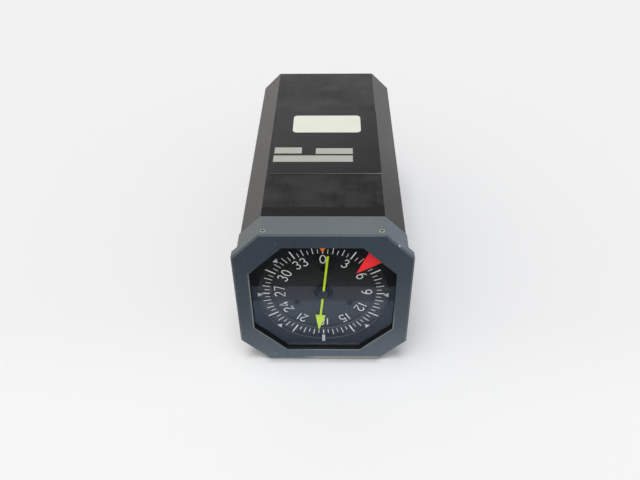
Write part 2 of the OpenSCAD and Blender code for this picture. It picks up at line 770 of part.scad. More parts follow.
// Idler: small gear meshing with the card gear, large gear meshing with the motor pinion
module idler_gear() {
  color("goldenrod") placed() {
    gear(pinion_teeth, idler_phase, y_train - 0.3, y_train + gear_face + 0.3, idler_shaft_r,
      idler_at);
    ring(pinion_pitch_r - gear_mod, idler_shaft_r, y_train + gear_face + 0.29, y_second + 0.01,
      idler_at);
    gear(idler_teeth, 0, y_second, y_second + second_face, idler_shaft_r, idler_at);
  }
}
module idler_shaft() {
  color("silver") placed() rod(idler_shaft_r, y_plate + 0.3, y_cans - 0.3, idler_at);
}
module idler_bushes() {
  color("peru") placed() {
    ring(bush_r, idler_shaft_r + run, y_plate, y_gears + 0.6, idler_at);
    ring(bush_r, idler_shaft_r + run, y_middle - 0.6, y_cans, idler_at);
  }
}

// Warning flag: sheet-metal blade that swings out of sight behind the bezel's corner
module warning_flag() {
  color("red") placed() difference() {
    union() {
      translate([flag_at[0], 0, flag_at[1]]) along_y(y_flag, y_flag + flag_t) polygon(flag_outline);
      rod(flag_hub_r, y_flag, y_mask - gap, flag_at);
    }
    rod(flag_shaft_r, y_flag + flag_t, y_ring, flag_at);
  }
}
module flag_shaft() {
  color("silver") placed() rod(flag_shaft_r, y_flag + flag_t, y_cans + movement_len / 2, flag_at);
}
module flag_movement() {
  color("darkslategray") placed() difference() {
    turned(flag_at) polygon([[0, y_cans], [movement_r, y_cans], [movement_r, y_cans + 3],
      [movement_r - 0.7, y_cans + 3.4], [movement_r - 0.7, y_cans + movement_len - 3.4],
      [movement_r, y_cans + movement_len - 3], [movement_r, y_cans + movement_len],
      [0, y_cans + movement_len]]);
    rod(flag_shaft_r + run, 0, y_cans + movement_len / 2 + 0.3, flag_at);
  }
}

// Circuit boards, stacked on posts behind the motor
module board(y0) {
  difference() {
    oct_plate(mech_w - 3, mech_w - 3, mech_leg, y0, y0 + board_t);
    four(post_at) rod(screw_r, 0, y_case_end);
  }
}
// A row of like parts on a board, n pitches to each side of the middle
module part_row(n, pitch, y0, z) {
  for (i = [-n:n]) translate([pitch * i, y0, z]) children();
}
module block(size) {
  translate([-size[0] / 2, 0, 0]) cube(size);
}
module board_part_rows(y0) {
  part_row(2, can_part_pitch, y0, can_part_z) rod(can_part_r, 0, can_part_len);
  part_row(3, chip_pitch, y0, chip_z) block(chip);
  part_row(2, relay_pitch, y0, relay_z) block(relay);
}
module servo_board() {
  color("seagreen") placed() board(y_board);
}
module servo_board_parts() {
  color("dimgray") placed() board_part_rows(y_board + board_t);
}
module power_board() {
  color("seagreen") placed() board(y_board2);
}
module power_board_parts() {
  y0 = y_board2 + board_t;
  color("dimgray") placed() {
    part_row(1, filter_pitch, y0, filter_z) rod(filter_r, 0, filter_len);
    part_row(3, power_chip_pitch, y0, power_chip_z) block(power_chip);
    translate([0, y0, heat_sink_z]) block(heat_sink);
    part_row(1, power_can_pitch, y0, heat_sink_z + heat_sink[2] / 2)
      rod(power_can_r, heat_sink[1] - 0.01, power_can_len);
  }
}
module board_posts() {
  color("silver") placed() four(post_at) rod(post_r, y_board + board_t, y_board2);
}
module rear_posts() {
  color("silver") placed() four(post_at) rod(post_r, y_board2 + board_t, y_bulkhead);
}
module transformer() {
  y_core = y_bulkhead - core_stack;
  window_h = core_h - 2 * core_yoke;
  limb_pitch = (core_w - core_limb) / 2;
  color("sienna") placed() {
    for (z = [window_h / 2, -core_h / 2]) translate([0, y_core, z])
      block([core_w, core_stack, core_yoke]);
    part_row(1, limb_pitch, y_core, -window_h / 2 - 0.01)
      block([core_limb, core_stack, window_h + 0.02]);
    difference() {
      translate([0, y_core - coil_overhang, coil_play - window_h / 2])
        block([2 * limb_pitch - core_limb - 2 * coil_play, core_stack + coil_overhang,
          window_h - 2 * coil_play]);
      translate([0, 0, -core_h]) block([core_limb, y_case_end, 2 * core_h]);
    }
  }
}
module rear_bulkhead() {
  color("lightgray") placed() difference() {
    oct_plate(mech_w, mech_w, mech_leg, y_bulkhead, y_bulkhead + plate_t);
    four(post_at) rod(screw_r, 0, y_case_end);
    for (s = [-1, 1]) rod(4, 0, y_case_end, [24 * s, 0]);
  }
}
module rear_standoffs() {
  color("silver") placed() four(post_at) difference() {
    rod(post_r + 0.6, y_bulkhead + plate_t, y_inside_end);
    rod(screw_r, y_inside_end - 6, y_case_end);
  }
}

// Case: drawn can that slides over the mechanism and is screwed to its rear standoffs; its
// front rim is a little smaller and seats in the bezel's rear
module case_shell() {
  rim_w = case_w - 2 * fit;
  color("darkslategray") placed() difference() {
    union() {
      along_y(bezel_depth, y_case_end)
        polygon(round_octagon(case_w, case_w, case_corner, edge_r));
      oct_plate(rim_w, rim_w, inset_leg(case_corner, fit), y_seat, bezel_depth + 0.01);
    }
    oct_plate(inside_w, inside_w, inset_leg(case_corner, case_wall), 0, y_inside_end);
    rod(socket_r + 0.9 + fit, 0, y_case_end + over);
    four(post_at) rod(screw_r, 0, y_case_end + over);
    four([flange_hole, flange_hole]) rod(screw_r, 0, y_case_end + over);
  }
}
module rear_screws() {
  color("silver") placed() four(post_at) screw(y_case_end, case_wall + 5.5, 2.4, 1.4, false);
}

// Rear connector: square-flanged receptacle with its insert and pins
module connector_outline(extra = 0) {
  polygon(round_rect(connector_flange + extra, connector_flange + extra, 3));
}
module connector_shell() {
  color("darkolivegreen") placed() difference() {
    union() {
      along_y(y_flange, y_flange + connector_flange_t) connector_outline();
      rod(barrel_r, y_flange, total_len);
      rod(socket_r + 0.9, y_case_end - shell_back, y_flange + 0.01);
    }
    rod(socket_r, y_case_end - shell_back - over, total_len + over);
    four([flange_hole, flange_hole]) rod(screw_r, y_case_end, y_flange + 3);
  }
  color("darkolivegreen") placed() for (a = [90, 160, 215, 325, 20])
    rotate([0, -a, 0]) translate([socket_r - 0.9, insert_front + 0.5, -0.6])
      cube([1.1, total_len - insert_front - 2, 1.2]);
}
module connector_gasket() {
  color("black") placed() difference() {
    along_y(y_case_end, y_flange) connector_outline();
    rod(socket_r + 0.9 + fit, 0, total_len);
    four([flange_hole, flange_hole]) rod(screw_r, 0, total_len);
  }
}
module pin_places() {
  for (i = [0:6]) rotate([0, 360 * i / 7, 0]) translate([inner_pin_ring_r, 0, 0]) children();
  for (i = [0:11]) rotate([0, 30 * i, 0]) translate([outer_pin_ring_r, 0, 0]) children();
}
module connector_insert() {
  color("orangered") placed() difference() {
    rod(socket_r - run, y_case_end - shell_back + 1, insert_front);
    pin_places() rod(pin_r, 0, total_len);
  }
}
module connector_pins() {
  color("gold") placed() pin_places() {
    rod(pin_r, y_case_end - shell_back - 2, insert_front + pin_len - pin_r);
    turned() polygon([[0, insert_front + pin_len - pin_r - 0.01],
      [pin_r, insert_front + pin_len - pin_r - 0.01], [pin_r * 0.4, insert_front + pin_len],
      [0, insert_front + pin_len]]);
  }
}
module connector_screws() {
  color("silver") placed() four([flange_hole, flange_hole])
    screw(y_flange + connector_flange_t, connector_flange_t + connector_gasket_t + 1.4, 1.5, 1,
      false);
}

// Case top: thin data plate with a blank label stuck on it
module data_plate() {
  color("dimgray") placed()
    translate([data_plate_x, data_plate_y + plate_len / 2, case_w / 2])
      linear_extrude(data_plate_t) polygon(round_rect(plate_w, plate_len, 1));
}
module blank_label() {
  color("ivory") placed()
    translate([label_at[0], label_at[1] + label_len / 2, case_w / 2 + data_plate_t])
      linear_extrude(label_t) polygon(round_rect(label_w, label_len, label_corner));
}

bezel();
bezel_screws();
window_gasket();
window_glass();
window_frame();
frame_screws();
index_mask();
front_frame();
front_plate();
plate_screws();
compass_card();
card_screws();
card_shaft();
card_gear();
front_bearing();
rear_bearing();
needle_bushes();
needle();
needle_hub();
needle_shaft();
bearing_synchro();
synchro_mount();
synchro_screws();
idler_gear();
idler_shaft();
idler_bushes();
servo_motor();
motor_pinion();
motor_shaft();
heading_synchro();
synchro_gear();
synchro_shaft();
can_clamps();
warning_flag();
flag_shaft();
flag_movement();
front_posts();
middle_plate();
main_posts();
post_screws();
servo_board();
servo_board_parts();
power_board();
power_board_parts();
board_posts();
rear_posts();
transformer();
rear_bulkhead();
rear_standoffs();
case_shell();
rear_screws();
connector_shell();
connector_gasket();
connector_insert();
connector_pins();
connector_screws();
data_plate();
blank_label();
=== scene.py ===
import math

import bmesh
import bpy
from mathutils import Matrix, Vector


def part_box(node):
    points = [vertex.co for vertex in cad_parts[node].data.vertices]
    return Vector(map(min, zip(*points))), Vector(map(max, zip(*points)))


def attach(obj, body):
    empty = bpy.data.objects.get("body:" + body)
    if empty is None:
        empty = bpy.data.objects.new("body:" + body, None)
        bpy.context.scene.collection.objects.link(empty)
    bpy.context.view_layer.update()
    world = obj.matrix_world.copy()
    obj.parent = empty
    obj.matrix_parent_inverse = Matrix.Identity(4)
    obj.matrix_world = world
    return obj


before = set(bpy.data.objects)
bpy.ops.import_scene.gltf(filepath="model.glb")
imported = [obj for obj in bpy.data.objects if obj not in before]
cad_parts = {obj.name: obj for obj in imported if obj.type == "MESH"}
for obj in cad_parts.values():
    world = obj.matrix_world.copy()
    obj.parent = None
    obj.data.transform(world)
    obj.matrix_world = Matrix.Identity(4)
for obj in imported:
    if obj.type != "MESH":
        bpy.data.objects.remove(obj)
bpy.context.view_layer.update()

# Camera: a small digital camera held a little above the instrument, in front of its dial,
# and looking down on it by some forty degrees.
eye = Vector((0.005454, -0.322248, 0.279566))
camera_yaw = -0.02793
camera_pitch = 0.70168
camera_roll = -0.01589
ahead = Vector((math.sin(camera_yaw) * math.cos(camera_pitch),
                math.cos(camera_yaw) * math.cos(camera_pitch), -math.sin(camera_pitch)))
level = Vector((math.cos(camera_yaw), -math.sin(camera_yaw), 0))
upright = level.cross(ahead)
right = level * math.cos(camera_roll) + upright * math.sin(camera_roll)
up = upright * math.cos(camera_roll) - level * math.sin(camera_roll)
camera = bpy.data.objects.new("camera", bpy.data.cameras.new("camera"))
camera.data.sensor_width = 36
camera.data.lens = 36.921
camera.data.clip_start = 0.01
camera.matrix_world = Matrix((right, up, -ahead)).transposed().to_4x4()
camera.location = eye
bpy.context.scene.collection.objects.link(camera)
bpy.context.scene.camera = camera
bpy.context.scene.view_settings.view_transform = "Standard"


# Studio: a pale table under the instrument, which rests on the bezel's lower rear edge and on
# the rear of its case. The table ends a hand's breadth before the dial, and beyond that edge
# only the camera sees the pale floor go on, so that the glass mirrors the table's edge.
def seen(red, green, blue):
    """A colour as a screen shows it, 0 to 255, in the linear values that a shader takes."""
    return (*(((c / 255 + 0.055) / 1.055) ** 2.4 for c in (red, green, blue)), 1)


class Wire:
    """An output socket in a node tree. A sum written with wires adds its Math nodes."""

    def __init__(self, tree, socket=None):
        self.tree = tree
        self.socket = socket

    def feed(self, node, sockets):
        for name, value in sockets.items():
            if isinstance(value, Wire):
                self.tree.links.new(value.socket, node.inputs[name])
            else:
                node.inputs[name].default_value = value

    def node(self, kind, settings=None, sockets=None, output=0):
        node = self.tree.nodes.new("ShaderNode" + kind)
        for name, value in (settings or {}).items():
            setattr(node, name, value)
        self.feed(node, sockets or {})
        return Wire(self.tree, node.outputs[output])

    def maths(self, operation, *values):
        return self.node("Math", {"operation": operation}, dict(enumerate(values)))

    def __add__(self, other):
        return self.maths("ADD", self, other)

    def __sub__(self, other):
        return self.maths("SUBTRACT", self, other)

    def __rsub__(self, other):
        return self.maths("SUBTRACT", other, self)

    def __mul__(self, other):
        return self.maths("MULTIPLY", self, other)

    def __pow__(self, other):
        return self.maths("POWER", self, other)

    __radd__ = __add__
    __rmul__ = __mul__

    def most(self, other):
        return self.maths("MAXIMUM", self, other)

    def size(self):
        return self.maths("ABSOLUTE", self)

    def axis(self, number):
        return self.node("SeparateXYZ", None, {0: self}, number)

    def between(self, low, high):
        """0 on the low side, 1 on the high side, and a straight slope between them."""
        return self.node("MapRange", None, {"Value": self, "From Min": low, "From Max": high})

    def noise(self, size, detail=3.0, rough=0.55, stretch=(1, 1, 1)):
        """Noise from 0 to 1 whose blotches are about size metres across."""
        place = self.node("Mapping", None, {"Vector": self, "Scale": stretch})
        return place.node("TexNoise", None, {"Vector": place, "Scale": 0.5 / size,
                                             "Detail": detail, "Roughness": rough})

    def tint(self, low, high):
        """The colour low where this is 0, and high where it is 1."""
        return self.node("Mix", {"data_type": "RGBA"}, {0: self, 6: low, 7: high}, 2)

    def bump(self, depth):
        return self.node("Bump", None, {"Height": self, "Distance": depth})


def finish(name, coat):
    """A material with the Principled sockets that coat(place) gives, for object coordinates."""
    material = bpy.data.materials.new(name)
    material.use_nodes = True
    place = Wire(material.node_tree).node("TexCoord", output="Object")
    place.feed(material.node_tree.nodes["Principled BSDF"], coat(place))
    return material


weld = 1e-7


def solid(name, bm):
    """The finished mesh of a bmesh, with its faces turned outwards."""
    bmesh.ops.remove_doubles(bm, verts=bm.verts, dist=weld)
    bmesh.ops.recalc_face_normals(bm, faces=bm.faces)
    mesh = bpy.data.meshes.new(name)
    bm.to_mesh(mesh)
    bm.free()
    return mesh


bezel_low, bezel_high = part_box("bezel")
case_low, case_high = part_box("case_shell")
dial_z = (bezel_low.z + bezel_high.z) / 2
table_slope = (case_low.z - bezel_low.z) / (case_high.y - bezel_high.y)
table_end = bezel_low.y - 0.0536
table_rim = 0.0124
table_far = 30


def table_coat(place):
    """Pale laminate, lighter before the bezel, with a painted contact shadow in a thin strip at
    the bezel's base.

    Mirrored, it shows painted shade at its rounded rim and close to the bezel.
    """
    along = place.axis(1)
    before = along.between(bezel_low.y + 0.03, bezel_low.y - 0.03)
    # Painted contact shadow: the floor's colour darkens in a thin strip just before the bezel's
    # base.
    foot_shadow = (along.between(bezel_low.y - 0.0036, bezel_low.y - 0.0006)
            * along.between(bezel_low.y + 0.004, bezel_low.y + 0.001)
            * place.axis(0).size().between(0.033, 0.0275))
    pale = before.tint((0.878, 0.878, 0.88, 1), (0.914, 0.914, 0.914, 1))
    shaded = foot_shadow.tint(pale, (0.6, 0.605, 0.6, 1))
    # Painted shade seen only in mirrors: darker at the table's rim and close to the bezel.
    rim = along.between(table_end + table_rim * 1.05, table_end + table_rim * 0.95)
    close = along.between(bezel_low.y - 0.032, bezel_low.y - 0.004)
    mirrored_shade = rim.most(close) * place.node("LightPath", output="Is Glossy Ray")
    return {"Base Color": mirrored_shade.tint(shaded, (0.46, 0.45, 0.45, 1)),
            "Roughness": 0.7, "Specular IOR Level": 0.2}


def table_part(name, near, far, material):
    bm = bmesh.new()
    bmesh.ops.create_grid(bm, x_segments=1, y_segments=1, size=1)
    for vert in bm.verts:
        y = far if vert.co.y > 0 else near
        vert.co = (vert.co.x * table_far, y, (y - bezel_high.y) * table_slope)
    mesh = solid(name, bm)
    mesh.materials.append(material)
    part = bpy.data.objects.new(name, mesh)
    bpy.context.scene.collection.objects.link(part)
    return part


table_finish = finish("table_laminate", table_coat)
table_part("table", table_end, table_far, table_finish)
floor = table_part("floor", -table_far, table_end, table_finish)
floor.visible_diffuse = False
floor.visible_glossy = False
floor.visible_transmission = False
floor.visible_shadow = False

room = bpy.data.worlds.new("room")
room.use_nodes = True
bpy.context.scene.world = room
toward = Wire(room.node_tree).node("TexCoord")
height = toward.axis(2)
walls = height.between(0.48, 0.26) * 0.75
window = (0 - toward.axis(1)).most(0) * 0.88
light = height.between(-0.05, -0.032) * (0.2 + walls + window - toward.axis(0) * 0.16)
daylight = toward.axis(0).between(-0.8, 0.8).tint((1.03, 1, 0.94, 1), (0.95, 1, 1.09, 1))
toward.feed(room.node_tree.nodes["Background"],
            {"Color": light.tint((0.02, 0.02, 0.022, 1), daylight)})

lamp = bpy.data.objects.new("lamp", bpy.data.lights.new("lamp", "SUN"))
lamp.data.angle = 0.6
lamp.data.energy = 1.75
lamp.rotation_euler = Vector((0.16, 0.35, -2.95)).to_track_quat("-Z", "Y").to_euler()
bpy.context.scene.collection.objects.link(lamp)


# Bezel: an aluminium casting under slate-blue satin paint, gone chalky and given a painted sheen
# on top and on its sides, rubbed lighter along its edges, and held by four small plated
# hexagon-socket screws.
def dress(material, *nodes):
    for node in nodes:
        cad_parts[node].material_slots[0].material = material


def edges(place, radius):
    """1 on edges, as far out as radius, and 0 on flat ground."""
    rounded = place.node("Bevel", {"samples": 4}, {"Radius": radius})
    flat = place.node("NewGeometry", output="Normal")
    along = place.node("VectorMath", {"operation": "DOT_PRODUCT"}, {0: rounded, 1: flat}, 1)
    return (1 - along).between(0.01, 0.12)


window_half = 0.0358
window_cut = 0.0166
# Chips in the paint: across and up from the dial's centre, radius, and how pale.
chips = ((0.0360, 0.0371, 0.0005, 1), (0.0368, 0.0365, 0.0003, 0.6),
         (-0.0259, -0.0393, 0.0003, 0.5), (-0.0218, 0.0385, 0.0002, 0.3))


def apart(first, second):
    """The distance between points that lie so far apart along two axes."""
    return (first ** 2 + second ** 2) ** 0.5


def facing(place, axis):
    """1 on a face whose normal lies along the axis, 0 on one that it lies in."""
    return place.node("NewGeometry", output="Normal").axis(axis).size()


def in_window(place):
    """How far from the dial's centre, measured in octagons that are like the window."""
    across = place.axis(0).size()
    high = (place.axis(2) - dial_z).size()
    return across.most(high).most(across + high - (window_half - window_cut))


def bezel_coat(place):
    """Blue paint; paler low down and on the right from fade and a painted reflection; chalky with
    a painted sheen outside, warmer on the left and bluer on the right; worn and chipped.
    """
    cloud = place.noise(0.014)
    speck = place.noise(0.0007, 2)
    streak = place.noise(0.0012, 3, 0.6, (1, 1, 0.3))
    edge = edges(place, 0.0007)
    across = place.axis(0).between(-0.04, 0.04)
    low = place.axis(2).between(0.03, 0.0)
    high = place.axis(2) - dial_z
    outside = facing(place, 1).between(0.75, 0.55)
    front = place.axis(1).between(bezel_low.y + 0.0012, bezel_low.y + 0.0006)

    paint = (cloud + streak * 0.8).between(0.6, 1.2).tint(seen(53, 67, 79), seen(64, 78, 89))
    # Paler low down and on the right: fade, and a painted reflection.
    fade_and_sheen = (low * (0.3 + streak * 0.5) + (across ** 4) * 0.16).tint(paint, seen(100, 112, 122))
    # Painted sheen: the top and side faces are coloured lighter than the front, the corner faces
    # warmer on the left and bluer on the right.
    corner = across.tint(seen(103, 107, 106), seen(105, 117, 128))
    chalk_and_sheen = facing(place, 0).between(0.3, 0.6).tint(seen(108, 115, 119), corner)
    dulled_and_sheen = (outside * (cloud * 0.3 + 0.7)).tint(fade_and_sheen, chalk_and_sheen)

    far_out = place.axis(0).size().between(0.026, 0.042)
    worn = low * 0.5 + far_out * 0.35 + cloud * 0.5 + speck * 0.5
    rubbed = edge * worn.between(0.7, 1.0) * (1 - outside * 0.5)
    right_part = place.axis(0).between(-0.012, -0.004)
    left_part = place.axis(0).between(-0.02, -0.026) * high.between(0.024, 0.016)
    sill = high.between(-0.0412, -0.0418) * right_part * (cloud * 0.3 + 0.6)
    rim = in_window(place).between(window_half + 0.0008, window_half + 0.0004)
    rim = rim * (high.between(0.0, -0.02) * right_part).most(left_part) * (speck * 0.6 + 0.35)
    rubbed = rubbed.most(sill.most(rim) * front)

    bare = 0.0
    for x, z, reach, pale in chips:
        away = apart(place.axis(0) - x, high - z)
        chip = (away + speck * 0.0004).between(reach + 0.0004, reach) * front
        bare = (chip * pale).most(bare)
        rubbed = rubbed.most(edge * away.between(reach * 18, reach * 6) * outside)
    worn_through = rubbed.tint(dulled_and_sheen, seen(156, 160, 154))
    painted = bare.tint(worn_through, seen(206, 210, 204))
    lip = in_window(place).between(0.0395, 0.0390) * outside
    return {"Base Color": lip.tint(painted, seen(8, 8, 9)),
            "Roughness": 0.42 + cloud * 0.12, "Specular IOR Level": 0.6,
            "Normal": (speck * 0.6 + cloud * 0.4).bump(0.00006)}


def grained(size, detail, low, high, rough, spread, bump=0, stretch=(1, 1, 1), **others):
    """A coat whose one grain ranges over two colours, and over spread from rough upwards.

    Any other sockets' constants are named as the sockets are, with _ for a space.
    """
    def coat(place):
        grain = place.noise(size, detail, stretch=stretch)
        sockets = {"Base Color": grain.tint(low, high), "Roughness": rough + grain * spread}
        if bump:
            sockets["Normal"] = grain.bump(bump)
        return sockets | {name.replace("_", " "): value for name, value in others.items()}
    return coat


screw_low, screw_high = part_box("bezel_screws")
screw_r = 0.00145
socket_r = 0.0006


def socket_screw_coat(place):
    """The plated finish, with painted shade in the hexagon socket."""
    grain = place.noise(0.0006, 2)
    across = place.axis(0).size() - (screw_high.x - screw_r)
    deep = place.axis(1) - (screw_low.y + screw_high.y) / 2
    # Painted shade: the socket's recess is coloured dark.
    dark = apart(across, deep).between(socket_r + 0.0002, socket_r)
    plate = grain.tint(seen(150, 154, 148), seen(176, 178, 168))
    return {"Base Color": dark.tint(plate, seen(92, 93, 89)), "Metallic": 0.3,
            "Roughness": 0.4 + grain * 0.2}


dress(finish("bezel_paint", bezel_coat), "bezel")
dress(finish("socket_screw", socket_screw_coat), "bezel_screws")
plated = grained(0.0006, 2, seen(146, 148, 142), seen(176, 176, 166), 0.36, 0.2, Metallic=0.8)
dress(finish("plated_steel", plated), "frame_screws", "plate_screws", "post_screws",
      "synchro_screws", "can_clamps", "rear_screws", "connector_screws")


# Window: a flat octagonal pane of clear glass, bloomed against glare so that it mirrors blue,
# in a black rubber gasket, and pressed against the bezel's lip by a matt black frame that the
# bezel screws hold.
def black_coat(place):
    grain = place.noise(0.0006, 3)
    cloud = place.noise(0.02, 3)
    return {"Base Color": cloud.tint(seen(22, 22, 24), seen(36, 36, 38)),
            "Roughness": 0.5 + grain * 0.2, "Normal": grain.bump(0.00003)}


def window_frame_coat(place):
    """Matt black, with painted light on the lower wall of its opening, which daylight reaches."""
    grain = place.noise(0.0006, 3)
    # Painted light: only the lower wall, which faces up, is coloured lighter.
    wall = facing(place, 2).between(0.8, 0.95) * place.axis(2).between(dial_z, dial_z - 0.03)
    return {"Base Color": wall.tint(seen(28, 28, 30), seen(69, 73, 73)),
            "Roughness": 0.5 + grain * 0.2, "Normal": grain.bump(0.00003)}


glass = bpy.data.materials.new("window_glass")
glass.use_nodes = True
pane = Wire(glass.node_tree)
outer = 1 - pane.node("NewGeometry", output="Backfacing")
sheen = pane.node("Fresnel", None, {"IOR": 1.5}) * outer * 1.4
clear = pane.node("BsdfTransparent", None, {"Color": (0.985, 0.99, 0.99, 1)})
mirror = pane.node("BsdfGlossy", None, {"Color": (0.52, 0.67, 0.96, 1), "Roughness": 0.03})
pane.feed(glass.node_tree.nodes["Material Output"],
          {"Surface": pane.node("MixShader", None, {0: sheen, 1: clear, 2: mirror})})
dress(glass, "window_glass")
rubber = grained(0.0005, 3, seen(22, 22, 23), seen(34, 34, 35), 0.65, 0.2, 0.00004)
dress(finish("black_rubber", rubber), "window_gasket", "connector_gasket")
dress(finish("window_frame_black", window_frame_coat), "window_frame")
dress(finish("black_frame", black_coat), "front_frame", "flag_movement")


# Index mask: a thin black plate behind the glass. Its small teeth are painted white, the one
# at the top orange, and a white bar marks the bottom.
def mask_coat(place):
    """Flat black, rubbed light on the edge of the opening."""
    grain = place.noise(0.0004, 3)
    cloud = place.noise(0.01, 4)
    wall = facing(place, 1).between(0.7, 0.3) * 0.8
    ground = cloud.tint(seen(32, 35, 35), seen(38, 39, 41))
    return {"Base Color": wall.tint(ground, seen(112, 106, 102)),
            "Roughness": 0.75 + grain * 0.15, "Specular IOR Level": 0.15}


def piece(name, mesh, body, material):
    mesh.materials.append(material)
    thing = bpy.data.objects.new(name, mesh)
    bpy.context.scene.collection.objects.link(thing)
    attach(thing, body)
    return thing


def on_dial(angle, y):
    """The frame of a mark at an angle clockwise from the top: X across, Z outwards."""
    centre = Matrix.Translation((0, y, dial_z))
    return centre @ Matrix.Rotation(math.radians(angle), 4, "Y")


def outline(bm, points, place, thickness):
    """A thin prism over an outline of (across, outwards) points, standing out to the front."""
    verts = [bm.verts.new(place @ Vector((x, 0, z))) for x, z in points]
    base = bm.faces.new(verts)
    front = bmesh.ops.extrude_face_region(bm, geom=[base])["geom"]
    moved = [v for v in front if isinstance(v, bmesh.types.BMVert)]
    bmesh.ops.translate(bm, verts=moved, vec=(0, -thickness, 0))


paint_t = 0.00004
mask_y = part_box("index_mask")[0].y
mask_open = 0.0331
tooth_reach = 0.0024
tooth_half = 0.00145
lubber_reach = 0.0048
lubber_half = 0.00225
bar_half = 0.0008
bar_inner = 0.0301
bar_outer = 0.035

bm = bmesh.new()
for angle in (45, 90, 135, 225, 270, 315):
    outline(bm, [(-tooth_half, mask_open), (0, mask_open - tooth_reach), (tooth_half, mask_open)],
            on_dial(angle, mask_y), paint_t)
outline(bm, [(-bar_half, bar_inner), (bar_half, bar_inner), (bar_half, bar_outer),
             (-bar_half, bar_outer)], on_dial(180, mask_y), paint_t)
# The white and orange marks are given a painted glow, a little light of their own.
index_paint_and_glow = grained(0.0005, 2, seen(208, 210, 210), seen(222, 222, 220), 0.5, 0.1,
                      Emission_Color=seen(205, 208, 212), Emission_Strength=0.1)
piece("index_marks", solid("index_marks", bm), "housing",
      finish("index_white", index_paint_and_glow))

bm = bmesh.new()
outline(bm, [(-lubber_half, mask_open), (0, mask_open - lubber_reach), (lubber_half, mask_open)],
        on_dial(0, mask_y), paint_t)
lubber_paint_and_glow = grained(0.0006, 2, seen(250, 116, 40), seen(255, 140, 60), 0.5, 0.1,
                       Emission_Color=seen(250, 116, 40), Emission_Strength=0.22)
piece("lubber_mark", solid("lubber_mark", bm), "housing",
      finish("lubber_orange", lubber_paint_and_glow))
dress(finish("mask_black", mask_coat), "index_mask")


# Compass card: a turned black disc with a raised rim. Its ticks, one in every five degrees,
# and its numerals are printed in white, and three blackened screws hold it to its shaft.
card_screw_r = 0.0158
card_screw_angles = (0, 120, 240)


def card_coat(place):
    """Satin black, lighter on the step inside the ring and matt round the three screws."""
    cloud = place.noise(0.008, 3)
    dust = place.noise(0.0016, 2).between(0.74, 0.84)
    ring = in_window(place).between(0.012, 0.014)
    wall = facing(place, 1).between(0.7, 0.3) * ring * 0.6
    ground = cloud.tint(seen(19, 21, 21), seen(25, 26, 26))
    dusty = (dust * 0.08).tint(ground, seen(120, 120, 116))
    matt = 0.0
    for angle in card_screw_angles:
        hole = on_dial(angle, 0) @ Vector((0, 0, card_screw_r))
        away = apart(place.axis(0) - hole.x, place.axis(2) - hole.z)
        matt = away.between(0.0022, 0.0016).most(matt)
    return {"Base Color": wall.tint(dusty, seen(110, 116, 122)),
            "Roughness": 0.28 + matt * 0.5}


# The white ticks and numerals are given a painted glow, a little light of their own.
marking = grained(0.0005, 2, seen(242, 244, 242), seen(252, 252, 250), 0.5, 0.1,
                  Emission_Color=seen(235, 238, 238), Emission_Strength=0.19)
white_paint_and_glow = finish("white_marking", marking)
dress(finish("dial_black", card_coat), "compass_card")
card_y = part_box("compass_card")[0].y
floor_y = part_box("card_screws")[0].y + 0.0005
# Radii of the ticks' ends and their widths, for every thirty, ten and five degrees.
tick_inner = 0.0271
tick_outer = {30: 0.0331, 10: 0.0311, 5: 0.02975}
tick_width = {30: 0.00056, 10: 0.00034, 5: 0.00029}

bm = bmesh.new()
for angle in range(0, 360, 5):
    kind = 30 if angle % 30 == 0 else 10 if angle % 10 == 0 else 5
    length = tick_outer[kind] - tick_inner
    middle = Matrix.Translation((0, 0, tick_inner + length / 2))
    size = Matrix.Diagonal((tick_width[kind], 2 * paint_t, length, 1))
    bmesh.ops.create_cube(bm, size=1, matrix=on_dial(angle, card_y) @ middle @ size)
piece("card_ticks", solid("card_ticks", bm), "card", white_paint_and_glow)

numeral_r = 0.02215
numeral_h = 0.0051
numeral_t = 0.14 * numeral_h
stroke_w = 0.00053
digit_w = 0.56
one_w = 0.12
digit_gap = 0.24
arc_steps = 20


def arc(x, z, half_w, half_h, start, end):
    """Points round part of an oval, from one angle to another."""
    turns = [start + (end - start) * i / arc_steps for i in range(arc_steps + 1)]
    return [(x + half_w * math.cos(math.radians(a)), z + half_h * math.sin(math.radians(a)))
            for a in turns]


six = [arc(0, -0.2, 0.26, 0.3, 0, 360), arc(0.14, -0.2, 0.4, 0.7, 180, 92)]
strokes = {
    "0": [arc(0, 0, 0.27, 0.5, 0, 360)],
    "1": [[(0, -0.5), (0, 0.5)]],
    "2": [arc(0, 0.22, 0.25, 0.28, 165, -38) + [(-0.27, -0.5), (0.27, -0.5)]],
    "3": [arc(-0.02, 0.26, 0.22, 0.24, 160, -90) + arc(-0.02, -0.24, 0.26, 0.26, 90, -155)],
    "4": [[(0.12, -0.5), (0.12, 0.5), (-0.29, -0.2), (0.29, -0.2)]],
    "5": [[(0.24, 0.5), (-0.16, 0.5), (-0.21, 0.07)] + arc(-0.01, -0.18, 0.27, 0.32, 130, -150)],
    "6": six,
    "7": [[(-0.27, 0.5), (0.27, 0.5), (-0.05, -0.5)]],
    "8": [arc(0, 0.26, 0.2, 0.24, 0, 360), arc(0, -0.24, 0.26, 0.26, 0, 360)],
    "9": [[(-x, -z) for x, z in stroke] for stroke in six]}


def stroke_mesh(points):
    """A round brush stroke along points, in numeral heights, as a mesh."""
    curve = bpy.data.curves.new("stroke", "CURVE")
    curve.dimensions = "3D"
    curve.bevel_depth = stroke_w / 2 / numeral_h
    curve.bevel_resolution = 3
    curve.use_fill_caps = True
    spline = curve.splines.new("POLY")
    spline.points.add(len(points) - 1)
    for point, (x, z) in zip(spline.points, points):
        point.co = (x, 0, z, 1)
    drawn = bpy.data.objects.new("stroke", curve)
    mesh = bpy.data.meshes.new_from_object(drawn)
    bpy.data.objects.remove(drawn)
    bpy.data.curves.remove(curve)
    return mesh


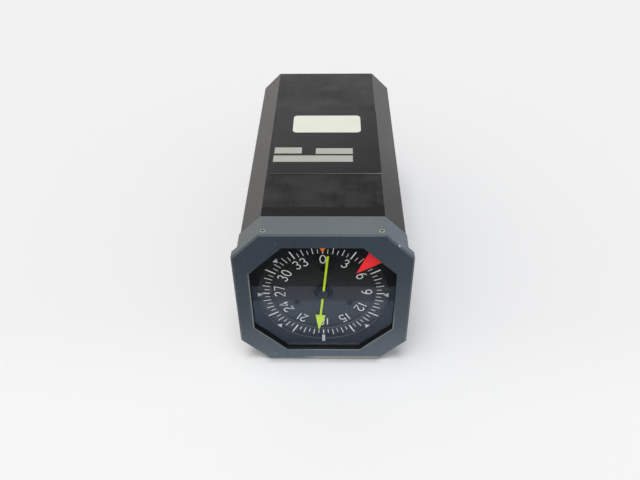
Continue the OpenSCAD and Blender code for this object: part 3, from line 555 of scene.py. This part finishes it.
bm = bmesh.new()
flatten = Matrix.Diagonal((numeral_h, numeral_t, numeral_h, 1))
for tens in range(0, 36, 3):
    label = str(tens)
    widths = [one_w if digit == "1" else digit_w for digit in label]
    at = -(sum(widths) + digit_gap * (len(label) - 1)) / 2
    for digit, width in zip(label, widths):
        middle = Matrix.Translation(((at + width / 2) * numeral_h, 0, numeral_r))
        for points in strokes[digit]:
            mesh = stroke_mesh(points)
            mesh.transform(on_dial(tens * 10, floor_y) @ middle @ flatten)
            bm.from_mesh(mesh)
            bpy.data.meshes.remove(mesh)
        at += width + digit_gap
piece("card_numerals", solid("card_numerals", bm), "card", white_paint_and_glow)


blackened = grained(0.0004, 2, seen(14, 14, 15), seen(22, 22, 23), 0.7, 0.2,
                    Specular_IOR_Level=0.15)
dress(finish("black_screw", blackened), "card_screws", "needle_hub")


# Needle: a thin stamped pointer in fluorescent yellow-green, black round its middle, on a
# turned black hub. Its shaft runs back through the card's hollow shaft.
needle_black_r = 0.00272


def needle_coat(place):
    grain = place.noise(0.0006, 2)
    green = grain.tint(seen(204, 236, 22), seen(216, 244, 40))
    radius = apart(place.axis(0), place.axis(2) - dial_z)
    middle = radius.between(needle_black_r + 0.0001, needle_black_r)
    return {"Base Color": middle.tint(green, seen(30, 30, 32)), "Roughness": 0.5 + grain * 0.1,
            # Painted glow: the fluorescent green is given a light of its own, none round the
            # black middle.
            "Emission Color": middle.tint(seen(200, 228, 20), (0, 0, 0, 1)),
            "Emission Strength": 0.16}


dress(finish("needle_paint", needle_coat), "needle")


# Warning flag: a small sheet-metal blade in fluorescent red at the window's upper right, on a
# shaft that swings it out of sight behind the bezel.
def flag_coat(place):
    """Bright red with a painted glow, and painted shade towards the corner of the window."""
    cloud = place.noise(0.003, 3)
    # Painted shade: the red darkens towards the window's edge, where the bezel shades it.
    window_edge_shade = in_window(place).between(0.0205, 0.0322) ** 2 * 0.27
    red = cloud.tint(seen(228, 34, 40), seen(252, 60, 62))
    return {"Base Color": window_edge_shade.tint(red, (0, 0, 0, 1)), "Roughness": 0.5 + cloud * 0.1,
            "Emission Color": window_edge_shade.tint(seen(246, 36, 42), (0, 0, 0, 1)),
            "Emission Strength": 0.42}


dress(finish("flag_paint", flag_coat), "warning_flag")


# Works: ground steel shafts and bearings, brass gears and bushes, and machined aluminium
# plates and posts, all out of sight behind the dial.
front_plate_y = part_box("front_plate")[0].y


def shaft_coat(place):
    """Ground steel, blackened where a shaft comes out in front of the front plate."""
    grain = place.noise(0.0003, 2, stretch=(1, 0.1, 1))
    black = place.axis(1).between(front_plate_y, front_plate_y - 0.0003)
    steel = grain.tint(seen(176, 177, 178), seen(204, 204, 204))
    return {"Base Color": black.tint(steel, seen(18, 18, 19)), "Metallic": 1 - black,
            "Roughness": 0.18 + grain * 0.15 + black * 0.45}


brass = grained(0.0004, 3, seen(186, 150, 84), seen(208, 174, 104), 0.26, 0.18, Metallic=1.0)
aluminium = grained(0.0006, 3, seen(178, 180, 182), seen(206, 207, 208), 0.32, 0.2, 0.00001,
                    stretch=(1, 1, 0.1), Metallic=1.0)
dress(finish("shaft_steel", shaft_coat), "card_shaft", "needle_shaft", "front_bearing",
      "rear_bearing", "idler_shaft", "motor_shaft", "synchro_shaft", "flag_shaft")
dress(finish("gear_brass", brass), "card_gear", "needle_bushes", "idler_gear",
      "idler_bushes", "motor_pinion", "synchro_gear")
dress(finish("plate_aluminium", aluminium), "front_plate", "middle_plate", "rear_bulkhead",
      "synchro_mount", "front_posts", "main_posts", "board_posts", "rear_posts",
      "rear_standoffs")


# Motor and synchros: drawn cans of passivated steel, with stub terminals at the rear, between
# the middle plate and the bulkhead.
can_steel = grained(0.0005, 3, seen(150, 154, 160), seen(186, 188, 192), 0.3, 0.16,
                    stretch=(1, 0.2, 1), Metallic=1.0)
dress(finish("can_steel", can_steel), "servo_motor", "heading_synchro", "bearing_synchro")


# Circuit boards: green laminate with moulded parts on it, on posts along the works, and a
# varnished laminated transformer.
def board_coat(place):
    weave = place.noise(0.0005, 2)
    cloud = place.noise(0.008, 3)
    return {"Base Color": cloud.tint(seen(20, 82, 50), seen(38, 104, 64)),
            "Roughness": 0.35 + weave * 0.15, "Normal": weave.bump(0.00002)}


plastic = grained(0.0005, 3, seen(34, 34, 36), seen(58, 58, 60), 0.5, 0.2, 0.00002)
layers = grained(0.0004, 2, seen(70, 56, 44), seen(118, 98, 78), 0.35, 0.2, 0.00006,
                 stretch=(0.05, 1, 0.05))
dress(finish("circuit_board", board_coat), "servo_board", "power_board")
dress(finish("component_plastic", plastic), "servo_board_parts", "power_board_parts")
dress(finish("transformer_steel", layers), "transformer")


# Case: a deep-drawn octagonal can in black satin enamel, smudged and matted by handling, with a
# painted sheen on its sides and towards the rear, slid over the works from the rear and screwed
# to their standoffs.
unsmudged_band = 0.0108


def case_coat(place):
    """Black enamel, without smudges in a band just behind the bezel; painted sheen on its sides
    and towards the rear, and painted shade at the right front.
    """
    cloud = place.noise(0.012, 2)
    smear = place.noise(0.005, 3, 0.45, (0.7, 1, 1))
    streak = place.noise(0.0011, 2, 0.5, (1, 0.12, 1))
    speck = place.noise(0.0006, 2)
    side = facing(place, 0).between(0.3, 0.6)
    band_end = bezel_high.y + unsmudged_band
    open_part = place.axis(1).between(band_end, band_end + 0.001)
    # Painted sheen: the smudges grow towards the rear.
    rear = place.axis(1).between(-0.02, 0.08) * 0.14
    # Painted shade: the right front is left without the sides' lighter colour.
    right_front_shade = place.axis(0).between(0.0, 0.01) * place.axis(1).between(0.0, -0.05)
    smudge = (cloud * 0.9 + smear * 1.1 + streak * 0.4 + rear).between(0.89, 1.86)
    smudge = smudge * open_part * (1 - side * right_front_shade)
    # The sides' lighter colour is wear from handling and a painted sheen.
    dulled_and_sheen = side * (0.35 + streak * 0.5) * (1 - right_front_shade)
    handled_and_sheen = side.tint(seen(58, 57, 57), seen(76, 73, 69))
    enamel = smudge.most(dulled_and_sheen).tint(seen(10, 11, 13), handled_and_sheen)
    rubbed = edges(place, 0.0009) * (smear * 0.7 + speck * 0.6).between(0.55, 0.85)
    return {"Base Color": (rubbed * 0.6).tint(enamel, seen(92, 90, 86)),
            "Roughness": 0.23 + smudge * 0.12 + speck * 0.05, "Specular IOR Level": 0.8,
            "Normal": (speck * 0.7 + smear * 0.3).bump(0.00003)}


dress(finish("case_paint", case_coat), "case_shell")


# Data plate: dark anodised sheet cemented to the case top, with three fields of bare metal.
# A cream plastic label has been stuck over its rear part.
plate_low, plate_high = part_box("data_plate")
# Left, right, near and far edges, the last two from the bezel's front.
fields_mm = ((-27.4, 15.5, 64.7, 70.8), (-4.6, 15.6, 72.4, 78.1), (-27.2, -12.3, 72.9, 78.9))


def data_plate_coat(place):
    """Black anodising, worn bright along the front edge and most of all at its right end."""
    grain = place.noise(0.0007, 3)
    cloud = place.noise(0.012, 3)
    front = place.axis(1).between(plate_low.y + 0.0012, plate_low.y + 0.0004)
    aside = place.axis(0).between(plate_low.x, plate_high.x)
    rim = edges(place, 0.0005) * front * (aside ** 3 * 0.7 + 0.3)
    along = place.axis(1).between(plate_low.y, plate_high.y)
    # Lighter towards the rear and the left: fade, and a painted sheen.
    fade_and_sheen = (cloud * 0.8 + along * 0.8 - aside * 0.5).between(0.0, 1.0)
    ground = fade_and_sheen.tint(seen(22, 23, 25), seen(50, 50, 50))
    return {"Base Color": rim.tint(ground, seen(190, 192, 192)),
            "Roughness": 0.42 + grain * 0.14, "Specular IOR Level": 0.5}


def field_coat(place):
    stain = place.noise(0.004, 4)
    speck = place.noise(0.0006, 2)
    return {"Base Color": (stain * 0.7 + speck * 0.3).tint(seen(167, 169, 159),
                                                           seen(192, 192, 183)),
            "Roughness": 0.45 + speck * 0.15}


def label_coat(place):
    stain = place.noise(0.006, 4)
    speck = place.noise(0.0007, 2)
    return {"Base Color": stain.tint(seen(237, 238, 226), seen(226, 226, 211)),
            "Roughness": 0.4 + speck * 0.12, "Normal": stain.bump(0.00008)}


dress(finish("data_plate_metal", data_plate_coat), "data_plate")
dress(finish("label_plastic", label_coat), "blank_label")
bm = bmesh.new()
for start, end, near, far in fields_mm:
    size = Matrix.Diagonal(((end - start) / 1000, (far - near) / 1000, 2 * paint_t, 1))
    middle = ((start + end) / 2000, bezel_low.y + (near + far) / 2000, plate_high.z)
    bmesh.ops.create_cube(bm, size=1, matrix=Matrix.Translation(middle) @ size)
piece("plate_fields", solid("plate_fields", bm), "housing",
      finish("plate_field", field_coat))


# Rear connector: an olive-plated receptacle with a screw thread round its barrel, a moulded
# insert and gold-plated pins.
def connector_coat(place):
    grain = place.noise(0.0005, 3)
    cloud = place.noise(0.005, 3)
    worn = edges(place, 0.0003) * grain.between(0.4, 0.7)
    olive = cloud.tint(seen(98, 98, 62), seen(124, 120, 80))
    return {"Base Color": worn.tint(olive, seen(170, 168, 150)), "Metallic": 0.75,
            "Roughness": 0.4 + grain * 0.2}


insert_rubber = grained(0.0006, 3, seen(120, 58, 34), seen(146, 76, 48), 0.55, 0.15, 0.00002)
gold = grained(0.0004, 2, seen(212, 176, 96), seen(232, 200, 124), 0.2, 0.12, Metallic=1.0)
olive_plate = finish("connector_finish", connector_coat)
dress(olive_plate, "connector_shell")
dress(finish("insert_rubber", insert_rubber), "connector_insert")
dress(finish("contact_gold", gold), "connector_pins")

shell_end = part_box("connector_shell")[1].y
barrel_r = 0.0127
thread_turns = 7
thread_start = 0.0012
thread_pitch = 0.0012
thread_depth = 0.0002
thread_root = 0.0001
thread_steps = 64

bm = bmesh.new()
centre = Vector((0, 0, dial_z))
for turn in range(thread_turns):
    y = shell_end - thread_start - turn * thread_pitch
    ridge = [(barrel_r - thread_root, y), (barrel_r + thread_depth, y - 0.35 * thread_pitch),
             (barrel_r + thread_depth, y - 0.5 * thread_pitch),
             (barrel_r - thread_root, y - 0.85 * thread_pitch)]
    verts = [bm.verts.new(centre + Vector((r, y, 0))) for r, y in ridge]
    loop = [bm.edges.new((verts[i], verts[(i + 1) % 4])) for i in range(4)]
    bmesh.ops.spin(bm, geom=verts + loop, cent=centre, axis=(0, 1, 0), dvec=(0, 0, 0),
                   angle=math.tau, steps=thread_steps, use_merge=True)
piece("coupling_thread", solid("coupling_thread", bm), "housing",
      olive_plate)
